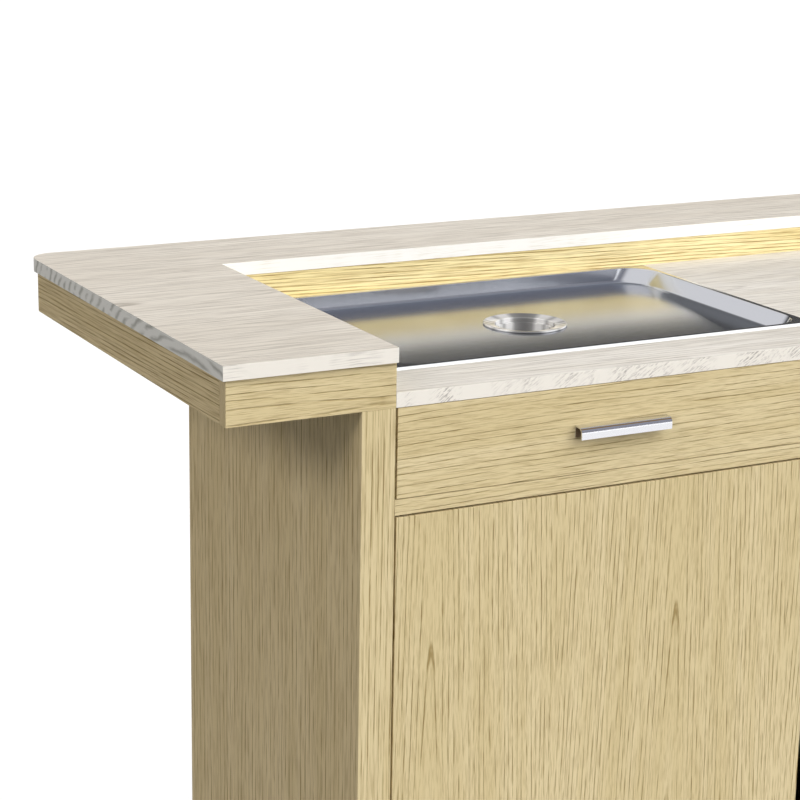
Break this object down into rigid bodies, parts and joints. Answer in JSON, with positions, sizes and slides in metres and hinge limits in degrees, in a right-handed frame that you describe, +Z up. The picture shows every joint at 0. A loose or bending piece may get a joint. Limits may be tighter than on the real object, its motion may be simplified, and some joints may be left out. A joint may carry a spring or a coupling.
{
  "type": "bar cabinet",
  "caption": "Home bar cabinet in pale oak: raised U-shaped top round a lower worktop with a shallow steel sink, over drawers and inset doors.",
  "frame": {"origin": "on the floor, under the middle of the whole cabinet's box", "axes": "+X along the bar, to the right of the person who serves; -Y towards that person, where the drawers and doors are; +Z up"},
  "size_m": [1.686, 0.6916, 1.05],
  "materials": {
    "oak": "straight-grained oak veneer with a matt clear coat",
    "whitewashed_oak": "brushed oak with a matt white wash left in the pores",
    "drawer_board": "clear-coated birch board",
    "batten_wood": "planed softwood",
    "sink_steel": "satin stainless sheet",
    "strainer_steel": "polished stainless",
    "pull_aluminium": "satin anodised extrusion",
    "plated_steel": "zinc-plated sheet and pins",
    "screw_steel": "zinc-plated screws",
    "seal_rubber": "black foam and rubber",
    "nut_brass": "turned brass",
    "waste_plastic": "white polypropylene",
    "bush_plastic": "grey nylon",
    "glide_plastic": "dark nylon",
    "catch_plastic": "white plastic with the magnet inside"
  },
  "bodies": {
    "cabinet": {"raised_top": "whitewashed_oak", "top_battens": "batten_wood", "front_apron_left": "oak", "front_apron_right": "oak", "side_apron_left": "oak", "side_apron_right": "oak", "rear_apron": "oak", "wing_fascia_left": "oak", "wing_fascia_right": "oak", "rear_fascia": "oak", "worktop": "whitewashed_oak", "side_panel_left": "oak", "side_panel_right": "oak", "back_panel": "oak", "bottom_panel": "oak", "plinth_board": "oak", "centre_partition": "oak", "cross_rail": "oak", "shelf": "oak", "shelf_pins": "plated_steel", "angle_brackets": "plated_steel", "bracket_screws": "screw_steel", "foot_glides": "glide_plastic", "left_runner_rails": "plated_steel", "right_runner_rails": "plated_steel", "pivot_bushes": "bush_plastic", "door_catches": "catch_plastic", "sink_tray": "sink_steel", "sink_seal": "seal_rubber", "sink_clips": "plated_steel", "strainer_body": "strainer_steel", "strainer_washer": "seal_rubber", "strainer_locknut": "nut_brass", "tailpiece": "waste_plastic", "union_nuts": "waste_plastic", "trap_body": "waste_plastic", "trap_cup": "waste_plastic", "waste_elbow": "waste_plastic", "waste_pipe": "waste_plastic"},
    "left_drawer": {"left_drawer_front": "oak", "left_drawer_sides": "drawer_board", "left_drawer_ends": "drawer_board", "left_drawer_bottom": "drawer_board", "left_drawer_pull": "pull_aluminium", "left_pull_screws": "screw_steel", "left_runner_slides": "plated_steel"},
    "right_drawer": {"right_drawer_front": "oak", "right_drawer_sides": "drawer_board", "right_drawer_ends": "drawer_board", "right_drawer_bottom": "drawer_board", "right_drawer_pull": "pull_aluminium", "right_pull_screws": "screw_steel", "right_runner_slides": "plated_steel"},
    "left_door": {"left_door": "oak", "left_pivot_pins": "plated_steel", "left_strike_plate": "plated_steel"},
    "right_door": {"right_door": "oak", "right_pivot_pins": "plated_steel", "right_strike_plate": "plated_steel"},
    "basket": {"strainer_basket": "strainer_steel"}
  },
  "joints": [
    {"name": "left_drawer_slide", "type": "slide", "parent": "cabinet", "child": "left_drawer", "axis": [0, -1, 0], "range_m": [0, 0.15]},
    {"name": "right_drawer_slide", "type": "slide", "parent": "cabinet", "child": "right_drawer", "axis": [0, -1, 0], "range_m": [0, 0.36]},
    {"name": "left_door_hinge", "type": "hinge", "parent": "cabinet", "child": "left_door", "pos_m": [-0.6105, -0.32325, 0.473], "axis": [0, 0, -1], "range_deg": [0, 105]},
    {"name": "right_door_hinge", "type": "hinge", "parent": "cabinet", "child": "right_door", "pos_m": [0.6105, -0.32325, 0.473], "axis": [0, 0, 1], "range_deg": [0, 105]},
    {"name": "basket_lift", "type": "slide", "parent": "cabinet", "child": "basket", "axis": [0, 0, 1], "range_m": [0, 0.08]}
  ]
}
